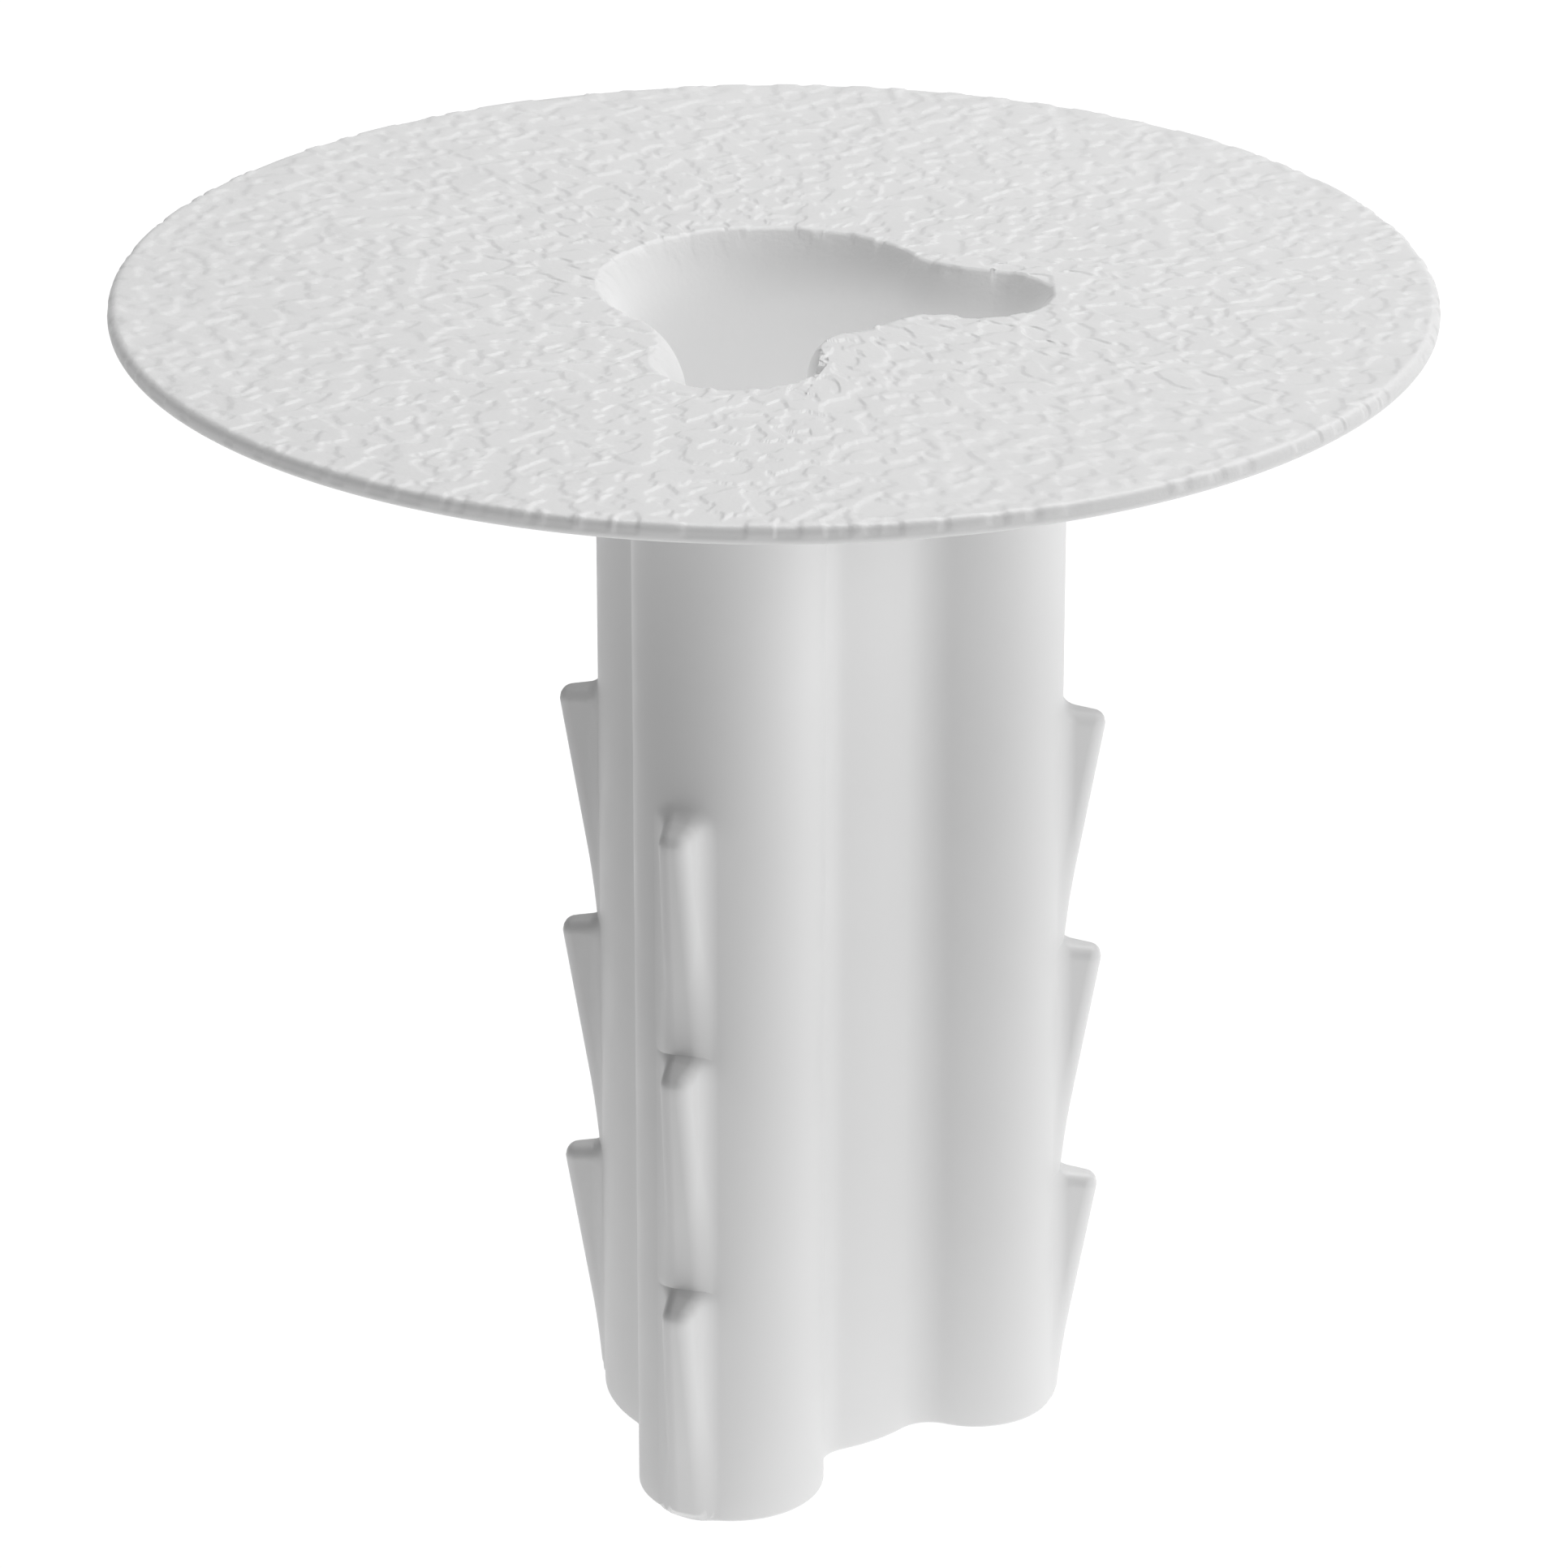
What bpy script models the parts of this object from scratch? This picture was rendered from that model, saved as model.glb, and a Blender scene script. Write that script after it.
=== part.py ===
"""A push-in wall bushing for a cable: a thin round flange on a hollow sleeve with two side channels.

The sleeve is pushed through a drilled hole until the flange meets the wall. Columns of saw-tooth
barbs on the sleeve grip the hole. Lengths are in metres. The sleeve stands on its end at z = 0 and
the flange is at the top, both on the Z axis.
"""

import math

import bmesh
import bpy
from mathutils import Vector

# Flange
FLANGE_DIAMETER = 0.0413
FLANGE_THICKNESS = 0.0006
FLANGE_EDGE_ROUND = min(0.00025, 0.45 * FLANGE_THICKNESS)

# Sleeve
OVERALL_HEIGHT = 0.0382
WALL = 0.0010
BORE_RADIUS = 0.0046

# Two side channels open into the bore, the front one and the side one, and a lobe of the sleeve
# runs round each. Directions are in degrees, and a reach is how far a channel goes past the bore.
CHANNEL_DIRECTIONS = (-96.8, -9.0)
LOBE_DIRECTIONS = (-101.2, -9.0)
CHANNEL_RADII = (0.00197, 0.00158)
CHANNEL_REACHES = (0.00448, 0.00364)

# Hollow fillets on the sleeve's outer wall, in the order that outline meets them
LOBE_FILLETS = (0.0032, 0.0012, 0.0012, 0.0032)

# Barbs, in columns that point straight out from the Z axis
BARB_COLUMNS = {"left": 169.0, "front": -106.0, "right": -5.0, "back": 81.0}
BARB_ROWS = ("upper", "middle", "lower")
FIRST_BARB_DEPTH = 0.0138
BARB_PROUD = 0.00143
BARB_FOOT_PROUD = 0.0003
BARB_THICKNESS = 0.0013
BARB_DRAFT = math.radians(8.0)
BARB_TIP_ROUND = 0.00035

# Clearance between neighbouring members, and how finely curves are divided
SEAM_GAP = 0.0002
ARC_STEP = math.radians(9.0)
RIM_SEGMENTS = 96
CORNER_SEGMENTS = 3

PLASTIC_COLOR = (0.86, 0.86, 0.86, 1.0)
PLASTIC_ROUGHNESS = 0.45

flange_underside = OVERALL_HEIGHT - FLANGE_THICKNESS
sleeve_top = flange_underside - SEAM_GAP
first_barb_top = OVERALL_HEIGHT - FIRST_BARB_DEPTH
barb_pitch = first_barb_top / len(BARB_ROWS)


def clear_scene():
    for obj in list(bpy.data.objects):
        bpy.data.objects.remove(obj, do_unlink=True)


def new_collection(name):
    collection = bpy.data.collections.new(name)
    bpy.context.scene.collection.children.link(collection)
    return collection


def plastic(name):
    material = bpy.data.materials.new(name)
    material.use_nodes = True
    shader = material.node_tree.nodes["Principled BSDF"]
    shader.inputs["Base Color"].default_value = PLASTIC_COLOR
    shader.inputs["Roughness"].default_value = PLASTIC_ROUGHNESS
    shader.inputs["Metallic"].default_value = 0.0
    return material


def direction(angle):
    return Vector((math.cos(angle), math.sin(angle)))


def round_parts(directions, grow):
    """(centre, radius) of the middle and of both channels or lobes, each radius larger by grow."""
    circles = [(Vector((0.0, 0.0)), BORE_RADIUS + grow)]
    for degrees, radius, reach in zip(directions, CHANNEL_RADII, CHANNEL_REACHES):
        distance = BORE_RADIUS + reach - radius
        circles.append((direction(math.radians(degrees)) * distance, radius + grow))
    return circles


def fillet_centre(first, second, fillet):
    """Centre of the fillet that touches two circles, on the right-hand side going from first to second."""
    (centre_a, radius_a), (centre_b, radius_b) = first, second
    span = centre_b - centre_a
    reach_a, reach_b = radius_a + fillet, radius_b + fillet
    along = (reach_a**2 - reach_b**2 + span.length_squared) / (2.0 * span.length)
    aside = math.sqrt(reach_a**2 - along**2)
    ahead = span.normalized()
    return centre_a + ahead * along + Vector((ahead.y, -ahead.x)) * aside


def arc(centre, radius, start, end, turn):
    """Points of an arc from the direction of start to the direction of end, turn 1 anticlockwise or -1."""
    from_angle = math.atan2(start.y - centre.y, start.x - centre.x)
    to_angle = math.atan2(end.y - centre.y, end.x - centre.x)
    sweep = (to_angle - from_angle) * turn % math.tau
    steps = max(2, round(sweep / ARC_STEP))
    return [centre + direction(from_angle + turn * sweep * i / steps) * radius for i in range(steps)]


def outline(round_shapes, fillets):
    """Closed outline of a round middle with a round front and side part.

    Round the outline they follow one another as middle, front, middle and side, with a hollow
    fillet between each two.
    """
    middle, front, side = round_shapes
    circles = (middle, front, middle, side)
    following = (front, middle, side, middle)
    hollows = [fillet_centre(*joined) for joined in zip(circles, following, fillets)]
    points = []
    for i, (centre, radius) in enumerate(circles):
        points += arc(centre, radius, hollows[i - 1], hollows[i], 1)
        points += arc(hollows[i], fillets[i], centre, following[i][0], -1)
    return points


def bore_outline():
    return outline(round_parts(CHANNEL_DIRECTIONS, 0.0), [fillet + WALL for fillet in LOBE_FILLETS])


def sleeve_outline(gap=0.0):
    """Outline of the sleeve's outer wall, or of a line outside it by gap."""
    return outline(round_parts(LOBE_DIRECTIONS, WALL + gap), [fillet - gap for fillet in LOBE_FILLETS])


def circle_outline(radius, segments):
    return [direction(math.tau * i / segments) * radius for i in range(segments)]


def extruded(name, outlines, depth, edge_round=0.0):
    """Mesh of flat outlines thickened by depth and centred on their plane, with rounded edges."""
    curve = bpy.data.curves.new(name, "CURVE")
    curve.dimensions = "2D"
    curve.fill_mode = "BOTH"
    curve.extrude = depth / 2.0 - edge_round
    curve.bevel_depth = edge_round
    curve.bevel_resolution = 1
    curve.offset = -edge_round
    for outline in outlines:
        spline = curve.splines.new("POLY")
        spline.points.add(len(outline) - 1)
        for point, (x, y) in zip(spline.points, outline):
            point.co = (x, y, 0.0, 1.0)
        spline.use_cyclic_u = True
    holder = bpy.data.objects.new(name + "_outline", curve)
    bpy.context.scene.collection.objects.link(holder)
    graph = bpy.context.evaluated_depsgraph_get()
    mesh = bpy.data.meshes.new_from_object(holder.evaluated_get(graph))
    bpy.data.objects.remove(holder)
    bpy.data.curves.remove(curve)
    weld(mesh)
    mesh.name = name
    return mesh


def weld(mesh):
    shape = bmesh.new()
    shape.from_mesh(mesh)
    bmesh.ops.remove_doubles(shape, verts=shape.verts, dist=1e-6)
    bmesh.ops.recalc_face_normals(shape, faces=shape.faces)
    shape.to_mesh(mesh)
    shape.free()


def add_part(name, mesh, collection, parent):
    part = bpy.data.objects.new(name, mesh)
    part.parent = parent
    collection.objects.link(part)
    mesh.materials.clear()
    mesh.materials.append(plastic(name + "_plastic"))
    mesh.shade_smooth()
    mesh.set_sharp_from_angle(angle=math.radians(35.0))
    return part


def make_flange(collection, parent):
    outlines = [circle_outline(FLANGE_DIAMETER / 2.0, RIM_SEGMENTS), bore_outline()]
    mesh = extruded("flange", outlines, FLANGE_THICKNESS, FLANGE_EDGE_ROUND)
    flange = add_part("flange", mesh, collection, parent)
    flange.location.z = flange_underside + FLANGE_THICKNESS / 2.0


def make_sleeve(collection, parent):
    mesh = extruded("sleeve", [sleeve_outline(), bore_outline()], sleeve_top)
    sleeve = add_part("sleeve", mesh, collection, parent)
    sleeve.location.z = sleeve_top / 2.0


def make_wall_cutter(collection, parent):
    """The sleeve's outer shape plus the seam gap. It trims each barb's root to the sleeve."""
    mesh = extruded("wall_cutter", [sleeve_outline(SEAM_GAP)], 2.0 * OVERALL_HEIGHT)
    cutter = bpy.data.objects.new("wall_cutter", mesh)
    cutter.parent = parent
    cutter.hide_render = True
    cutter.display_type = "WIRE"
    collection.objects.link(cutter)
    return cutter


def wall_distance(angle):
    """Distance from the Z axis to the sleeve's outer wall in this direction."""
    ray = direction(angle)
    distances = []
    for centre, radius in round_parts(LOBE_DIRECTIONS, WALL):
        nearest = ray.dot(centre)
        half_chord_squared = radius**2 - (centre.length_squared - nearest**2)
        if nearest >= 0.0 and half_chord_squared > 0.0:
            distances.append(nearest + math.sqrt(half_chord_squared))
    return max(distances)


def rounded_corner(before, corner, after, radius):
    """Points of a soft corner that starts and ends at radius from the sharp one."""
    start = corner + (before - corner).normalized() * radius
    end = corner + (after - corner).normalized() * radius
    points = []
    for i in range(CORNER_SEGMENTS + 1):
        t = i / CORNER_SEGMENTS
        points.append(start * (1.0 - t) ** 2 + corner * (2.0 * t * (1.0 - t)) + end * t**2)
    return points


def barb_mesh(name, angle):
    """Saw tooth with its top at z = 0 and its tip along +X, narrower towards the tip by the draft."""
    wall = wall_distance(angle)
    root = wall - WALL / 2.0
    draft = math.tan(BARB_DRAFT)
    foot_depth = barb_pitch - SEAM_GAP
    root_top = Vector((root, (wall - root) * draft))
    tip = Vector((wall + BARB_PROUD, -BARB_PROUD * draft))
    foot = Vector((wall + BARB_FOOT_PROUD, -foot_depth))
    root_foot = Vector((root, -foot_depth))
    profile = [root_top, *rounded_corner(root_top, tip, foot, BARB_TIP_ROUND), foot, root_foot]
    mesh = extruded(name, [profile], BARB_THICKNESS)
    for vertex in mesh.vertices:
        x, up, aside = vertex.co
        half = BARB_THICKNESS / 2.0 - (x - wall) * draft
        vertex.co = (x, math.copysign(half, aside), up)
    weld(mesh)
    return mesh


def make_barbs(collection, parent, cutter):
    for column, degrees in BARB_COLUMNS.items():
        angle = math.radians(degrees)
        for row, row_name in enumerate(BARB_ROWS):
            name = f"barb_{column}_{row_name}"
            barb = add_part(name, barb_mesh(name, angle), collection, parent)
            barb.location.z = first_barb_top - row * barb_pitch
            barb.rotation_euler.z = angle
            trim = barb.modifiers.new("trim_to_wall", "BOOLEAN")
            trim.operation = "DIFFERENCE"
            trim.solver = "EXACT"
            trim.object = cutter


def main():
    clear_scene()
    parts = new_collection("wall_bushing")
    cutters = new_collection("wall_bushing_cutters")
    cutters.hide_render = True
    frame = bpy.data.objects.new("wall_bushing_frame", None)
    parts.objects.link(frame)
    make_flange(parts, frame)
    make_sleeve(parts, frame)
    make_barbs(parts, frame, make_wall_cutter(cutters, frame))


main()
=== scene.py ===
"""Looks of a push-in wall bushing: one white moulding with a crinkle-textured flange.

The moulding is shown as a flange, a sleeve and twelve barbs, each a piece of its own, whose surfaces
run into one another as on the real one. Lengths are in metres and angles in radians.
"""

import math

import bpy
import numpy as np
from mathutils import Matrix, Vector


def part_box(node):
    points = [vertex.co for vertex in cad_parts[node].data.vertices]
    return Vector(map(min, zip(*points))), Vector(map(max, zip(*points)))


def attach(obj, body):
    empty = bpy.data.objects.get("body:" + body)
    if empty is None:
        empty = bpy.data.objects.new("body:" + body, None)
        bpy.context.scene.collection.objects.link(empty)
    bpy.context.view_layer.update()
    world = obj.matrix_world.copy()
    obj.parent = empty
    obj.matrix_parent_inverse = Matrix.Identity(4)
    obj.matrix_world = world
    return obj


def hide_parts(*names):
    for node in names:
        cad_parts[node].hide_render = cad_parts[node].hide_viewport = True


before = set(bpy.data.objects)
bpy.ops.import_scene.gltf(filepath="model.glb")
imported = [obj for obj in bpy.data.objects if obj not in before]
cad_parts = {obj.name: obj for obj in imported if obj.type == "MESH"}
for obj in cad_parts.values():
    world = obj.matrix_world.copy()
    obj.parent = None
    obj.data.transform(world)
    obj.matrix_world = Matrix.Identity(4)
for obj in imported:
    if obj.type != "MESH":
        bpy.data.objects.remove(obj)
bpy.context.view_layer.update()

# The opening and the sleeve, as the CAD part has them
BORE_RADIUS = 0.0046
WALL = 0.0010
CHANNEL_DIRECTIONS = (math.radians(-96.8), math.radians(-9.0))
LOBE_DIRECTIONS = (math.radians(-101.2), math.radians(-9.0))
CHANNEL_RADII = (0.00197, 0.00158)
CHANNEL_REACHES = (0.00448, 0.00364)
LOBE_FILLETS = (0.0032, 0.0012, 0.0012, 0.0032)

# Flange
RIM_ROUND = 0.00030
RIM_FOOT_ROUND = 0.00020
NECK_FILLET = 0.0006
NECK_LENGTH = 0.0028
# Way to the rim's lamp-lit side; the rim's painted glow is full on the far side and fades to none
# towards this one
RIM_BRIGHT_SIDE = (0.95, 0.3)

# Crinkle of the flange's face: cells of its further noises, in RELIEF_CELLs, and their shares
RELIEF_DEPTH = 0.000042
RELIEF_CELL = 0.00085
RELIEF_LEAN = 0.00009
BEND_CELL, BEND_SHARE = 0.8, 0.35
FINE_CELL, FINE_SHARE = 0.47, 0.45
RIPPLE_CELL, RIPPLE_SHARE = 2.5, 0.15
PLATEAU_LOW, PLATEAU_HIGH = -0.20, 0.10

# Rounded mouth of the opening
LIP_WIDTH = 0.0007
LIP_GAIN = 0.0005
LIP_LEAN = (-0.4, 0.9)
LIP_STEEPNESS = 2.1
LIP_TURN = math.radians(55.0)

# Sleeve end
END_ROUND = 0.00012

# Barbs: direction of each column, and the round part of the sleeve that it stands on
BARB_COLUMNS = {
    "left": (math.radians(169.0), 0),
    "front": (math.radians(-106.0), 1),
    "right": (math.radians(-5.0), 2),
    "back": (math.radians(81.0), 0),
}
BARB_ROWS = ("upper", "middle", "lower")
FIRST_BARB_DEPTH = 0.0138
BARB_PROUD = 0.00143
BARB_FOOT_PROUD = 0.00002
BARB_HALF_WIDTH = 0.00065
BARB_DRAFT = math.tan(math.radians(8.0))
BARB_EDGE_ROUND = 0.00040
BARB_FILLET = 0.00045
BARB_OVERLAP = 0.00015
BARB_SINK = 0.0003

# White of the outside, and the darker white and painted glow of the bore and of the rim's left and
# front: emission that stands in for light seeping through the thin walls
BODY_TINT = 0.82
PAINTED_GLOW_TINT = 0.66
PAINTED_GLOW_STRENGTH = 0.23

# Floor: values outside the painted pool of light and in it, where the floor glows. Each edge of the
# pool has the way across it, and how far that way the floor is dark and bright.
FLOOR_HALF = 3.0
FLOOR_TINTS = (0.22, 0.1)
FLOOR_GLOWS = (0.29, 0.98)
POOL_EDGES = (((1.0, 0.1, 0.0), -0.065, -0.027), ((0.0, 1.0, 0.0), -0.075, -0.011))

# Round soft lights: azimuth and elevation in degrees, and power
LIGHTS = {
    "back_right": (55.0, 58.0, 2.2),
    "back": (90.0, 60.0, 1.15),
    "front_left": (-110.0, 62.0, 0.3),
    "front_right": (-38.0, 13.0, 1.2),
    "right": (0.0, 5.0, 0.8),
}
LIGHT_SIZE = 0.5
LIGHT_DISTANCE = 0.6
LIGHT_TARGET = (0.0, 0.0, 0.02)
WORLD_STRENGTH = 0.03

# Camera: place in flange radii from the middle of the flange's face, and lens in millimetres
CAMERA_ASIDE, CAMERA_BACK, CAMERA_RISE = 0.01525, 10.3889, 3.6549
CAMERA_DOWN = math.radians(23.283)
CAMERA_LENS = 167.7

# How finely each piece is divided
FLANGE_AROUND = 1440
FACE_RINGS = 150
LIP_RINGS = 16
RIM_STEPS = 6
FOOT_STEPS = 4
UNDERSIDE_RINGS = 16
NECK_STEPS = 6
SLEEVE_AROUND = 360
SLEEVE_RINGS = 48
END_STEPS = 5
CORNER_STEPS = 6
WIDTH_STEPS = 8
LENGTH_STEPS = 28
SKIRT_STEPS = 7
BARB_RINGS = 26
SETTLE_ROUNDS = 12
SETTLE_REACH = 0.0001

# Places from the frame
flange_low, flange_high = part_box("flange")
top = flange_high.z
underside = flange_low.z
flange_radius = (flange_high.x - flange_low.x) / 2.0
neck_end = underside - NECK_LENGTH
first_barb_top = top - FIRST_BARB_DEPTH
barb_pitch = first_barb_top / len(BARB_ROWS)


# ---------------------------------------------------------------- outlines


def unit(angle):
    return np.stack([np.cos(angle), np.sin(angle)], axis=-1)


def round_parts(directions, grow):
    """(centre, radius) of the middle and of both channels or lobes, each radius larger by grow."""
    parts = [(np.zeros(2), BORE_RADIUS + grow)]
    for angle, radius, reach in zip(directions, CHANNEL_RADII, CHANNEL_REACHES):
        parts.append((unit(angle) * (BORE_RADIUS + reach - radius), radius + grow))
    return parts


def fillet_centre(first, second, fillet):
    """Centre of the fillet that touches two circles, on the right going from first to second."""
    (centre_a, radius_a), (centre_b, radius_b) = first, second
    span = centre_b - centre_a
    length = np.linalg.norm(span)
    reach_a, reach_b = radius_a + fillet, radius_b + fillet
    along = (reach_a**2 - reach_b**2 + length**2) / (2.0 * length)
    aside = math.sqrt(reach_a**2 - along**2)
    ahead = span / length
    return centre_a + ahead * along + np.array([ahead[1], -ahead[0]]) * aside


def bearing(centre, point):
    return math.atan2(point[1] - centre[1], point[0] - centre[0])


def outline(parts, fillets, count):
    """Evenly spaced points round the opening or the sleeve, and the way straight out at each."""
    middle, front, side = parts
    circles = (middle, front, middle, side)
    following = (front, middle, side, middle)
    hollows = [fillet_centre(*joined) for joined in zip(circles, following, fillets)]
    arcs = []
    for i, (centre, radius) in enumerate(circles):
        start, end = bearing(centre, hollows[i - 1]), bearing(centre, hollows[i])
        arcs.append((centre, radius, start, (end - start) % math.tau, 1))
        start, end = bearing(hollows[i], centre), bearing(hollows[i], following[i][0])
        arcs.append((hollows[i], fillets[i], start, (start - end) % math.tau, -1))
    lengths = np.array([radius * sweep for _, radius, _, sweep, _ in arcs])
    ends = np.cumsum(lengths)
    points, outwards = np.empty((count, 2)), np.empty((count, 2))
    for k in range(count):
        distance = ends[-1] * k / count
        i = int(np.searchsorted(ends, distance, side="right"))
        centre, radius, start, _, turn = arcs[i]
        way = unit(start + turn * (distance - ends[i] + lengths[i]) / radius)
        points[k] = centre + way * radius
        outwards[k] = way * turn
    return points, outwards


def bore_outline(count):
    fillets = [fillet + WALL for fillet in LOBE_FILLETS]
    return outline(round_parts(CHANNEL_DIRECTIONS, 0.0), fillets, count)


def sleeve_outline(count):
    return outline(round_parts(LOBE_DIRECTIONS, WALL), LOBE_FILLETS, count)


# ---------------------------------------------------------------- relief of the flange's face


def lattice_noise(x, y, cell, seed):
    """Smooth noise between about -1 and 1, with bumps and dips about one cell across."""
    u, v = x / cell, y / cell
    column, row = np.floor(u).astype(np.int64), np.floor(v).astype(np.int64)
    u, v = u - column, v - row

    def corner(i, j):
        number = (column + i) * 73856093 ^ (row + j) * 19349663 ^ seed * 83492791
        number = (number ^ number >> 13) * 1274126177 & 0xFFFFFFFF
        angle = (number ^ number >> 16) % 4096 * (math.tau / 4096)
        return np.cos(angle) * (u - i) + np.sin(angle) * (v - j)

    fade_u = u**3 * (u * (u * 6 - 15) + 10)
    fade_v = v**3 * (v * (v * 6 - 15) + 10)
    low = corner(0, 0) * (1 - fade_u) + corner(1, 0) * fade_u
    high = corner(0, 1) * (1 - fade_u) + corner(1, 1) * fade_u
    return (low * (1 - fade_v) + high * fade_v) * 1.5


def smooth_step(low, high, value):
    t = np.clip((value - low) / (high - low), 0.0, 1.0)
    return t * t * (3.0 - 2.0 * t)


def plateaus(x, y):
    """1 on the flange's plateaus and 0 in the winding hollows between them."""
    bend_x = lattice_noise(x, y, RELIEF_CELL * BEND_CELL, 11) * RELIEF_CELL * BEND_SHARE
    bend_y = lattice_noise(x, y, RELIEF_CELL * BEND_CELL, 12) * RELIEF_CELL * BEND_SHARE
    broad = lattice_noise(x + bend_x, y + bend_y, RELIEF_CELL, 1)
    fine = lattice_noise(x + bend_x, y + bend_y, RELIEF_CELL * FINE_CELL, 2)
    return smooth_step(PLATEAU_LOW, PLATEAU_HIGH, broad + FINE_SHARE * fine)


def relief(x, y):
    """Depth below the flange's face, with plateaus that are steeper in front than at the back."""
    plateau = plateaus(x, y + RELIEF_LEAN * plateaus(x, y))
    ripple = RIPPLE_SHARE * lattice_noise(x, y, RELIEF_CELL * RIPPLE_CELL, 3)
    return RELIEF_DEPTH * (1.0 - plateau + ripple)


# ---------------------------------------------------------------- meshes


def ring_mesh(name, rings, painted_glow_share):
    """Closed mesh through a loop of rings, each with as many points, the last joined to the first.

    The last argument says for each ring, or each of its points, how much painted glow the surface
    gets there: emission that stands in for light seeping through the wall.
    """
    points = np.concatenate(rings)
    count, around = len(rings), len(rings[0])
    ring, place = np.meshgrid(np.arange(count), np.arange(around), indexing="ij")
    next_ring, next_place = (ring + 1) % count, (place + 1) % around
    corners = [ring * around + place, next_ring * around + place]
    corners += [next_ring * around + next_place, ring * around + next_place]
    faces = np.stack(corners, axis=-1).reshape(-1, 4)
    mesh = bpy.data.meshes.new(name)
    mesh.from_pydata(points.tolist(), [], faces.tolist())
    mesh.shade_smooth()
    mesh.set_sharp_from_angle(angle=math.radians(60.0))
    shares = np.concatenate([np.broadcast_to(share, around) for share in painted_glow_share])
    mesh.attributes.new("painted_glow_share", "FLOAT", "POINT").data.foreach_set("value", shares.astype(np.float32))
    return mesh


def level(points, z):
    """Ring of plan points at a height, or at a height each."""
    return np.column_stack([points, np.broadcast_to(z, len(points))])


def add_piece(name, mesh, material, slot, *nodes):
    piece = bpy.data.objects.new(name, mesh)
    bpy.context.scene.collection.objects.link(piece)
    mesh.materials.append(material)
    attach(piece, "root")
    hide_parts(*nodes)
    return piece


# ---------------------------------------------------------------- flange


def rim_directions(points):
    """Angle on the rim that each point of the opening is joined to: half even, half its bearing."""
    bearings = np.unwrap(np.arctan2(points[:, 1], points[:, 0]))
    bearings = np.append(bearings, bearings[0] + math.tau)
    even = bearings[0] + math.tau * np.arange(len(points) + 1) / len(points)
    return (0.5 * bearings + 0.5 * even)[:-1]


def lip_widths(outwards):
    """How far the rounded mouth reaches out from the bore, widest at the back and on the left."""
    return (LIP_WIDTH + LIP_GAIN * (outwards @ np.array(LIP_LEAN)))[:, None]


def flange_rings():
    """Rings from the throat up over the lip, out to the rim and back underneath to the neck."""
    bore, outwards = bore_outline(FLANGE_AROUND)
    wall, wall_outwards = sleeve_outline(FLANGE_AROUND)
    rim = unit(rim_directions(bore))
    lip = lip_widths(outwards)
    rings, painted_glow_share = [], []

    def add(plan, z, share=0.0):
        rings.append(level(plan, z))
        painted_glow_share.append(share)

    # The bore's painted glow fades out up the lip
    for i in range(LIP_RINGS + 1):
        turn = LIP_TURN * i / LIP_RINGS
        mouth = bore + outwards * lip * (1.0 - math.cos(turn)) / (1.0 - math.cos(LIP_TURN))
        up = math.sin(turn) / math.sin(LIP_TURN)
        depth = LIP_STEEPNESS * lip[:, 0] * (1.0 - up)
        add(mouth, top - depth - up**4 * relief(*mouth.T), 1.0 - up**3)
    edge = rim * (flange_radius - RIM_ROUND)
    for i in range(1, FACE_RINGS):
        plan = mouth + (edge - mouth) * i / FACE_RINGS
        add(plan, top - relief(*plan.T))
    bump = relief(*edge.T)
    # Painted glow on the rim: full on its left and front side, fading to none on the lit right side
    rim_painted_glow = np.clip(0.5 - 0.5 * (rim @ np.array(RIM_BRIGHT_SIDE)), 0.0, 1.0)
    for i in range(RIM_STEPS + 1):
        turn = math.pi / 2 * i / RIM_STEPS
        out = flange_radius - RIM_ROUND * (1.0 - math.sin(turn)) - bump * math.sin(turn)
        height = top - RIM_ROUND * (1.0 - math.cos(turn)) - bump * math.cos(turn)
        add(rim * out[:, None], height, rim_painted_glow * math.sin(turn) ** 2)
    side_high, side_low = top - RIM_ROUND, underside + RIM_FOOT_ROUND
    for share in (0.3, 0.65, 1.0):
        out = flange_radius - bump * (1.0 - share)
        add(rim * out[:, None], side_high + (side_low - side_high) * share, rim_painted_glow)
    for i in range(1, FOOT_STEPS + 1):
        turn = math.pi / 2 * i / FOOT_STEPS
        foot = rim * (flange_radius - RIM_FOOT_ROUND * (1.0 - math.cos(turn)))
        add(foot, underside + RIM_FOOT_ROUND * (1.0 - math.sin(turn)), rim_painted_glow * math.cos(turn))
    flare = wall + wall_outwards * NECK_FILLET
    for i in range(1, UNDERSIDE_RINGS):
        add(foot + (flare - foot) * i / UNDERSIDE_RINGS, underside)
    for i in range(NECK_STEPS + 1):
        turn = math.pi / 2 * i / NECK_STEPS
        plan = wall + wall_outwards * NECK_FILLET * (1.0 - math.sin(turn))
        add(plan, underside - NECK_FILLET * (1.0 - math.cos(turn)))
    add(wall, neck_end)
    # Painted glow at the foot of the throat
    add(bore, neck_end, 1.0)
    return rings, painted_glow_share


def make_flange(material):
    mesh = ring_mesh("flange_shell", *flange_rings())
    add_piece("flange_shell", mesh, material, "flange_plastic", "flange")


# ---------------------------------------------------------------- sleeve


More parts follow.
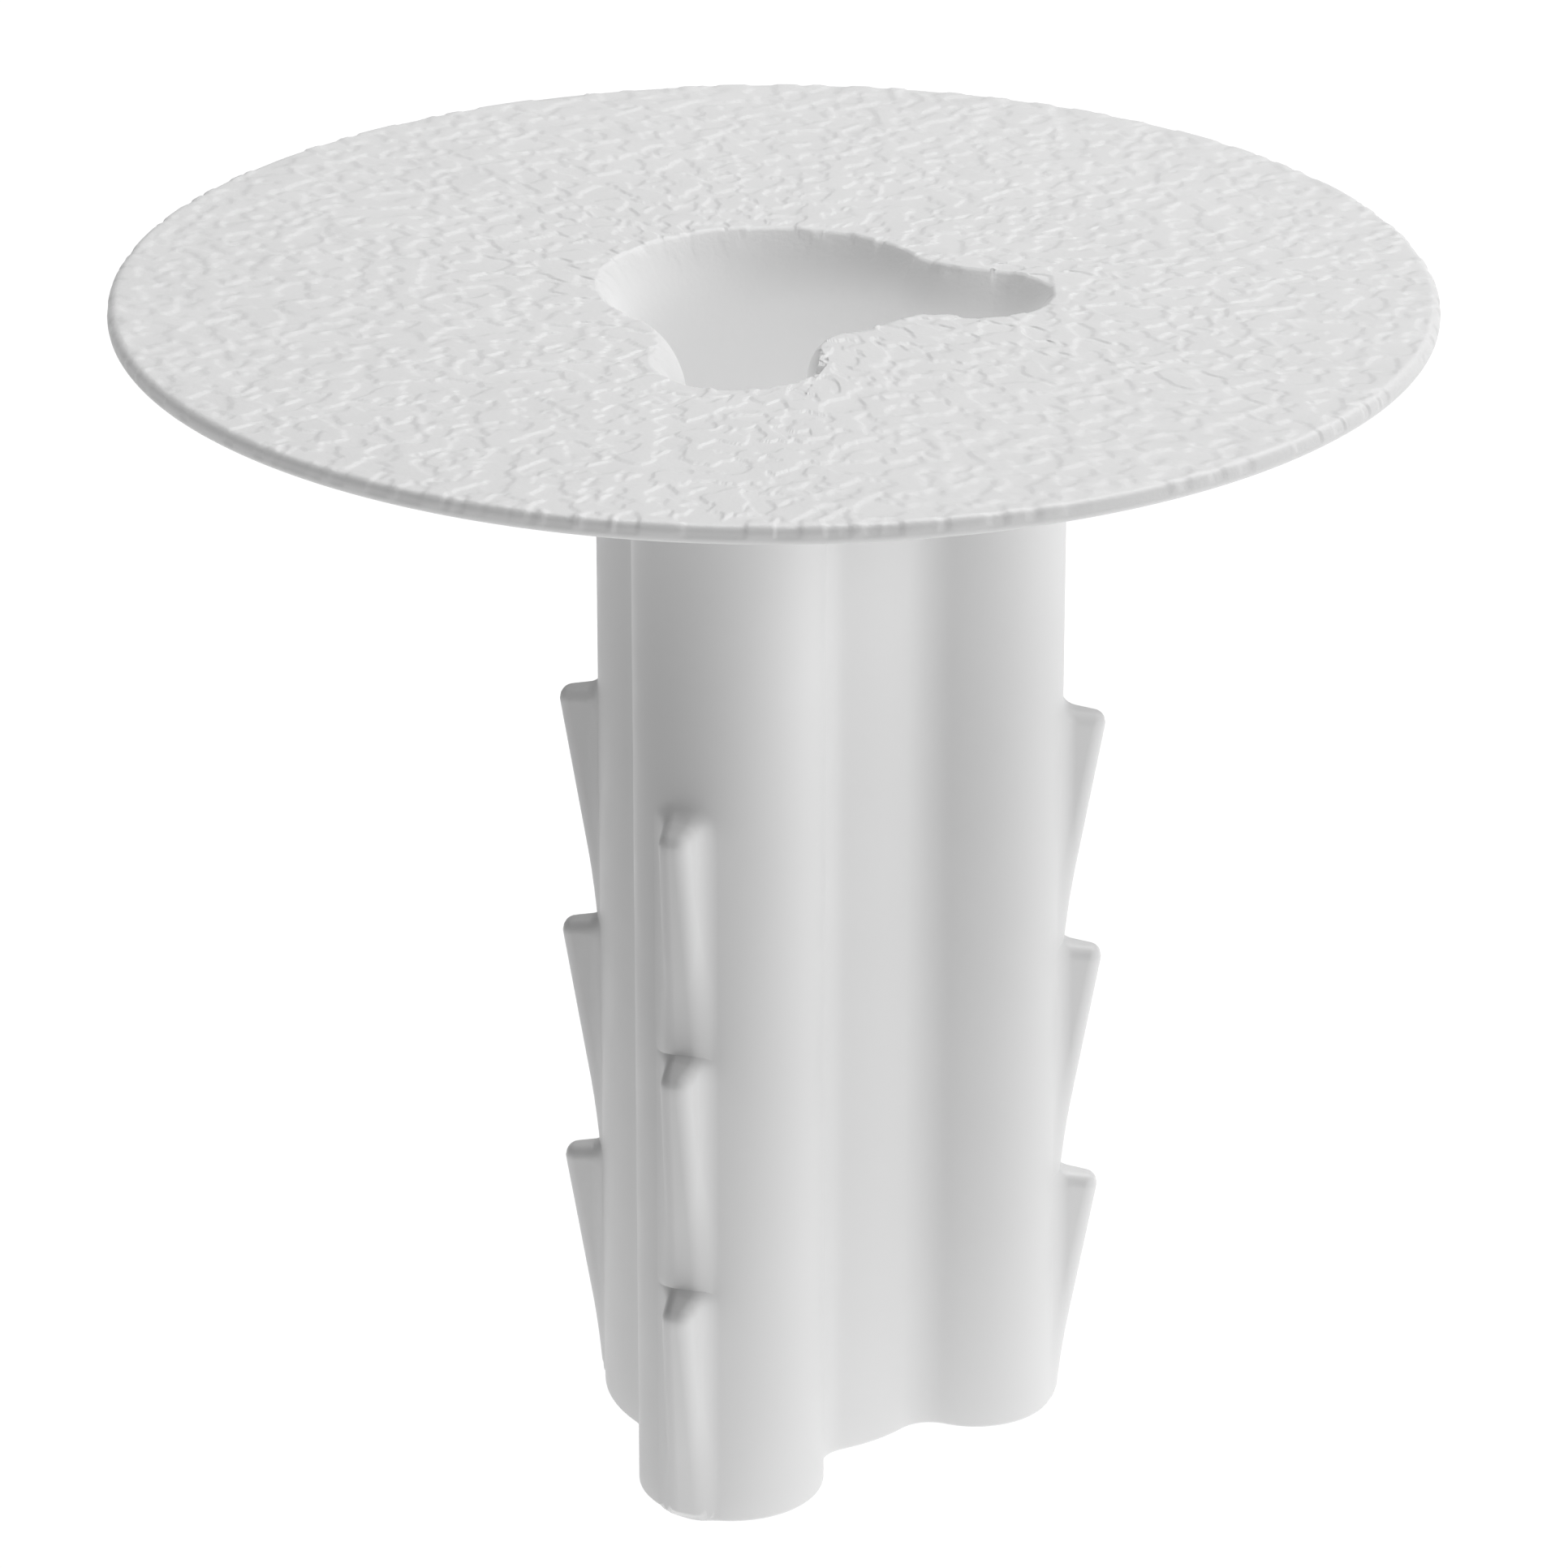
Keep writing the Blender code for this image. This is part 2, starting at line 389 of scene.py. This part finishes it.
def sleeve_rings():
    """Rings from the top down the bore, round the end and up the outer wall."""
    bore, bore_outwards = bore_outline(SLEEVE_AROUND)
    wall, wall_outwards = sleeve_outline(SLEEVE_AROUND)
    heights = np.linspace(neck_end, END_ROUND, SLEEVE_RINGS)
    rings = [level(bore, z) for z in heights]
    for i in range(1, END_STEPS + 1):
        turn = math.pi / 2 * i / END_STEPS
        plan = bore + bore_outwards * END_ROUND * (1.0 - math.cos(turn))
        rings.append(level(plan, END_ROUND * (1.0 - math.sin(turn))))
    # Painted glow over the bore and the inner half of the end's rounding, none on the outer wall
    painted_glow_share = [1.0] * len(rings)
    for i in range(END_STEPS + 1):
        turn = math.pi / 2 * i / END_STEPS
        plan = wall - wall_outwards * END_ROUND * (1.0 - math.sin(turn))
        rings.append(level(plan, END_ROUND * (1.0 - math.cos(turn))))
    rings += [level(wall, z) for z in heights[-2::-1]]
    painted_glow_share += [0.0] * (len(rings) - len(painted_glow_share))
    return rings, painted_glow_share


def make_sleeve(material):
    mesh = ring_mesh("sleeve_body", *sleeve_rings())
    add_piece("sleeve_body", mesh, material, "sleeve_plastic", "sleeve")


# ---------------------------------------------------------------- barbs


def rounded_and(distances, rounding):
    """Signed distance to what several solids share, with rounded outer edges."""
    outside = np.sqrt(sum(np.maximum(d + rounding, 0.0) ** 2 for d in distances))
    return np.minimum(np.maximum.reduce(distances), -rounding) + outside


def rounded_or(a, b, fillet):
    """Signed distance to two solids joined by a hollow fillet."""
    inside = np.sqrt(np.maximum(fillet - a, 0.0) ** 2 + np.maximum(fillet - b, 0.0) ** 2)
    return np.maximum(np.minimum(a, b), fillet) - inside


class Barb:
    """One saw tooth. Its own axes are x out from the flange's axis, y to the side and z up."""

    def __init__(self, direction, part, row):
        centre, self.wall_radius = round_parts(LOBE_DIRECTIONS, WALL)[part]
        self.out = unit(direction)
        self.aside = np.array([-self.out[1], self.out[0]])
        self.centre = np.array([centre @ self.out, centre @ self.aside])
        self.wall = self.wall_at(0.0)
        self.crest = first_barb_top - row * barb_pitch
        self.foot = max(self.crest - barb_pitch - BARB_OVERLAP, 0.0)
        self.last = row == len(BARB_ROWS) - 1
        fall = self.crest - BARB_PROUD * BARB_DRAFT - self.foot
        self.lean = (BARB_PROUD - BARB_FOOT_PROUD) / fall

    def wall_at(self, y):
        return self.centre[0] + np.sqrt(self.wall_radius**2 - (y - self.centre[1]) ** 2)

    def distance(self, points):
        """Signed distance from the tooth and the wall as one moulding."""
        x, y, z = points.T
        proud = x - self.wall
        square = math.hypot(1.0, BARB_DRAFT)
        side = (np.abs(y) - BARB_HALF_WIDTH + proud * BARB_DRAFT) / square
        crest = (z - self.crest + proud * BARB_DRAFT) / square
        face = proud - BARB_FOOT_PROUD - (z - self.foot) * self.lean
        face = face / math.hypot(1.0, self.lean)
        tooth = rounded_and([side, crest, face, self.foot - z], BARB_EDGE_ROUND)
        if self.last:
            tooth = rounded_and([side, crest, face], BARB_EDGE_ROUND)
        wall = np.hypot(x - self.centre[0], y - self.centre[1]) - self.wall_radius
        joined = rounded_or(wall, tooth, BARB_FILLET)
        return rounded_and([joined, -z], END_ROUND)

    def gradient(self, points):
        step = 1e-6
        slopes = []
        for axis in np.eye(3) * step:
            slopes.append((self.distance(points + axis) - self.distance(points - axis)) / (2 * step))
        return np.stack(slopes, axis=-1)

    def settle(self, points):
        """Moves points onto the moulding's surface."""
        for _ in range(SETTLE_ROUNDS):
            slope = self.gradient(points)
            size = np.maximum((slope**2).sum(axis=1), 0.05)
            shift = np.clip(self.distance(points) / size, -SETTLE_REACH, SETTLE_REACH)
            points = points - slope * shift[:, None]
        return points

    def ring(self, outset, proud):
        """Ring round the tooth at a height above the wall, and that far out from its sides."""
        half = BARB_HALF_WIDTH - proud * BARB_DRAFT + outset
        high = self.crest - proud * BARB_DRAFT + outset
        low = self.foot + max(proud - BARB_FOOT_PROUD, 0.0) / self.lean - outset
        round_y = min(0.8 * BARB_EDGE_ROUND + outset, 0.9 * half)
        round_high = min(round_y, 0.4 * (high - low))
        stretch = 1.0 + (1.0 / max(self.lean, 0.2) - 1.0) * min(proud / BARB_FILLET, 1.0)
        round_low = min(round_y * stretch, 0.45 * (high - low))
        points = []

        def corner(y, z, across, up, start):
            for i in range(CORNER_STEPS):
                way = unit(start + math.pi / 2 * i / CORNER_STEPS)
                points.append((y + across * way[0], z + up * way[1]))

        def side(start, end, steps):
            for i in range(steps):
                points.append(tuple(np.array(start) + (np.array(end) - start) * i / steps))

        right, left = half - round_y, round_y - half
        corner(right, high - round_high, round_y, round_high, 0.0)
        side((right, high), (left, high), WIDTH_STEPS)
        corner(left, high - round_high, round_y, round_high, math.pi / 2)
        side((-half, high - round_high), (-half, low + round_low), LENGTH_STEPS)
        corner(left, low + round_low, round_y, round_low, math.pi)
        side((left, low), (right, low), WIDTH_STEPS)
        corner(right, low + round_low, round_y, round_low, -math.pi / 2)
        side((half, low + round_low), (half, high - round_high), LENGTH_STEPS)
        y, z = np.array(points).T
        return np.column_stack([self.wall_at(y) + proud, y, np.maximum(z, 0.0)])

    def rings(self):
        """Rings from the edge of the fillet to the tip."""
        stations = []
        for i in range(SKIRT_STEPS):
            turn = math.pi / 2 * i / SKIRT_STEPS
            stations.append((BARB_FILLET * (1 - math.sin(turn)), BARB_FILLET * (1 - math.cos(turn))))
        for i in range(BARB_RINGS):
            share = i / (BARB_RINGS - 1)
            stations.append((0.0, BARB_FILLET + (0.985 * BARB_PROUD - BARB_FILLET) * share))
        return [self.ring(*station) for station in stations]

    def in_frame(self, points):
        plan = points[:, :1] * self.out + points[:, 1:2] * self.aside
        return np.column_stack([plan, points[:, 2]])

    def mesh(self, name):
        rings = self.rings()
        around = len(rings[0])
        skin = self.settle(np.concatenate(rings))
        slope = self.gradient(skin)
        normals = slope / np.linalg.norm(slope, axis=1, keepdims=True)
        root = skin[:around] - np.array([BARB_SINK, 0.0, 0.0])
        points = np.vstack([skin, root])
        faces = []
        for place in range(around):
            after = (place + 1) % around
            for here in range(0, len(skin) - around, around):
                above = here + around
                faces.append((here + place, here + after, above + after, above + place))
            faces.append((after, place, len(skin) + place, len(skin) + after))
        faces.append(tuple(range(len(points) - 1, len(skin) - 1, -1)))
        faces += self.tip_faces(len(skin) - around, around)
        mesh = bpy.data.meshes.new(name)
        mesh.from_pydata(self.in_frame(points).tolist(), [], faces)
        mesh.shade_smooth()
        inwards = np.tile([-1.0, 0.0, 0.0], (around, 1))
        turned = self.in_frame(np.vstack([normals, inwards]))
        mesh.normals_split_custom_set_from_vertices(turned.tolist())
        return mesh

    def tip_faces(self, first, around):
        """Faces that close the last ring, from its upper side straight down to its lower one."""
        across = 2 * CORNER_STEPS + WIDTH_STEPS
        low_end = across + LENGTH_STEPS + across
        faces = []
        for i in range(across):
            faces.append((first + i, first + i + 1, first + low_end - i - 1, first + low_end - i))
        faces.append(tuple(range(first + across, first + across + LENGTH_STEPS + 1)))
        faces.append((*range(first + low_end, first + around), first))
        return faces


def make_barbs(material):
    for column, (direction, part) in BARB_COLUMNS.items():
        for row, row_name in enumerate(BARB_ROWS):
            node = f"barb_{column}_{row_name}"
            mesh = Barb(direction, part, row).mesh(node + "_tooth")
            add_piece(node + "_tooth", mesh, material, "barb_plastic", node)


# ---------------------------------------------------------------- materials


def plastic(name, roughness, grain_size, grain_depth):
    """White moulded plastic with a faint grain and a little unevenness in colour and gloss.

    The bore and the rim's left and front get a darker white and a painted glow: emission that stands
    in for light seeping through the thin walls.
    """
    material = bpy.data.materials.new(name)
    material.use_nodes = True
    nodes, links = material.node_tree.nodes, material.node_tree.links
    shader = nodes["Principled BSDF"]
    shader.inputs["IOR"].default_value = 1.49
    shader.inputs["Emission Color"].default_value = (1.0, 1.0, 1.0, 1.0)
    place = nodes.new("ShaderNodeTexCoord").outputs["Object"]
    painted_glow_share = nodes.new("ShaderNodeAttribute")
    painted_glow_share.attribute_name = "painted_glow_share"

    def noise(size, detail):
        node = nodes.new("ShaderNodeTexNoise")
        node.inputs["Scale"].default_value = 1.0 / size
        node.inputs["Detail"].default_value = detail
        links.new(place, node.inputs["Vector"])
        return node.outputs["Fac"]

    def spread(factor, from_range, to_range):
        node = nodes.new("ShaderNodeMapRange")
        for socket, value in zip(("From Min", "From Max", "To Min", "To Max"), from_range + to_range):
            node.inputs[socket].default_value = value
        links.new(factor, node.inputs["Value"])
        return node.outputs["Result"]

    # Painted glow: where the mesh attribute marks it, the base colour turns to the darker white and
    # the surface emits a little light
    tint = nodes.new("ShaderNodeMix")
    tint.inputs["B"].default_value = PAINTED_GLOW_TINT
    links.new(painted_glow_share.outputs["Fac"], tint.inputs["Factor"])
    body_tint = spread(noise(0.006, 3.0), (0.3, 0.7), (BODY_TINT - 0.01, BODY_TINT + 0.01))
    links.new(body_tint, tint.inputs["A"])
    links.new(tint.outputs["Result"], shader.inputs["Base Color"])
    glow = spread(painted_glow_share.outputs["Fac"], (0.0, 1.0), (0.0, PAINTED_GLOW_STRENGTH))
    links.new(glow, shader.inputs["Emission Strength"])
    gloss = spread(noise(0.0015, 2.0), (0.3, 0.7), (roughness - 0.04, roughness + 0.04))
    links.new(gloss, shader.inputs["Roughness"])
    bump = nodes.new("ShaderNodeBump")
    bump.inputs["Distance"].default_value = grain_depth
    links.new(noise(grain_size, 2.0), bump.inputs["Height"])
    links.new(bump.outputs["Normal"], shader.inputs["Normal"])
    return material


# ---------------------------------------------------------------- stage, light and camera


def glow_factor(nodes, links):
    """1 in the painted pool of light, where the floor glows like a light table, and 0 in front and on
    the left of it.
    """
    place = nodes.new("ShaderNodeTexCoord").outputs["Object"]
    factors = []
    for way, dark, bright in POOL_EDGES:
        along = nodes.new("ShaderNodeVectorMath")
        along.operation = "DOT_PRODUCT"
        along.inputs[1].default_value = way
        links.new(place, along.inputs[0])
        fade = nodes.new("ShaderNodeMapRange")
        fade.interpolation_type = "SMOOTHSTEP"
        fade.inputs["From Min"].default_value = dark
        fade.inputs["From Max"].default_value = bright
        links.new(along.outputs["Value"], fade.inputs["Value"])
        factors.append(fade.outputs["Result"])
    both = nodes.new("ShaderNodeMath")
    both.operation = "MULTIPLY"
    links.new(factors[0], both.inputs[0])
    links.new(factors[1], both.inputs[1])
    return both.outputs["Value"]


def make_floor():
    mesh = bpy.data.meshes.new("floor")
    signs = ((-1, -1), (1, -1), (1, 1), (-1, 1))
    mesh.from_pydata([(x * FLOOR_HALF, y * FLOOR_HALF, 0.0) for x, y in signs], [], [(0, 1, 2, 3)])
    floor = bpy.data.objects.new("floor", mesh)
    bpy.context.scene.collection.objects.link(floor)
    material = bpy.data.materials.new("pale_floor")
    material.use_nodes = True
    nodes, links = material.node_tree.nodes, material.node_tree.links
    shader = nodes["Principled BSDF"]
    shader.inputs["Roughness"].default_value = 0.9
    shader.inputs["Specular IOR Level"].default_value = 0.0
    shader.inputs["Emission Color"].default_value = (1.0, 1.0, 1.0, 1.0)
    glow = glow_factor(nodes, links)
    blends = {"Base Color": FLOOR_TINTS, "Emission Strength": FLOOR_GLOWS}
    for socket, (outside, inside) in blends.items():
        blend = nodes.new("ShaderNodeMapRange")
        blend.inputs["To Min"].default_value = outside
        blend.inputs["To Max"].default_value = inside
        links.new(glow, blend.inputs["Value"])
        links.new(blend.outputs["Result"], shader.inputs[socket])
    mesh.materials.append(material)


def soft_light(name, azimuth, elevation, power):
    data = bpy.data.lights.new(name, "AREA")
    data.shape = "DISK"
    data.size = LIGHT_SIZE
    data.energy = power
    light = bpy.data.objects.new(name, data)
    around, up = math.radians(azimuth), math.radians(elevation)
    away = Vector((math.cos(around) * math.cos(up), math.sin(around) * math.cos(up), math.sin(up)))
    light.location = Vector(LIGHT_TARGET) + LIGHT_DISTANCE * away
    light.rotation_euler = (-away).to_track_quat("-Z", "Y").to_euler()
    bpy.context.scene.collection.objects.link(light)


def make_light():
    world = bpy.data.worlds.new("studio")
    world.use_nodes = True
    background = world.node_tree.nodes["Background"]
    background.inputs["Color"].default_value = (1.0, 1.0, 1.0, 1.0)
    background.inputs["Strength"].default_value = WORLD_STRENGTH
    bpy.context.scene.world = world
    for name, placing in LIGHTS.items():
        soft_light(name, *placing)


def make_camera():
    """A long lens from the front, looking down on the flange at about 23 degrees."""
    data = bpy.data.cameras.new("camera")
    data.sensor_width = 36.0
    data.lens = CAMERA_LENS
    data.clip_start = 0.01
    data.clip_end = 10.0
    camera = bpy.data.objects.new("camera", data)
    place = Vector((CAMERA_ASIDE, -CAMERA_BACK, CAMERA_RISE)) * flange_radius
    camera.location = place + Vector((0.0, 0.0, top))
    camera.rotation_euler = (math.pi / 2 - CAMERA_DOWN, 0.0, 0.0)
    bpy.context.scene.collection.objects.link(camera)
    bpy.context.scene.camera = camera


face_plastic = plastic("flange_plastic", roughness=0.5, grain_size=0.00016, grain_depth=0.00001)
body_plastic = plastic("sleeve_plastic", roughness=0.45, grain_size=0.0004, grain_depth=0.000002)
make_flange(face_plastic)
make_sleeve(body_plastic)
make_barbs(body_plastic)
make_floor()
make_light()
make_camera()
bpy.context.scene.view_settings.view_transform = "Standard"
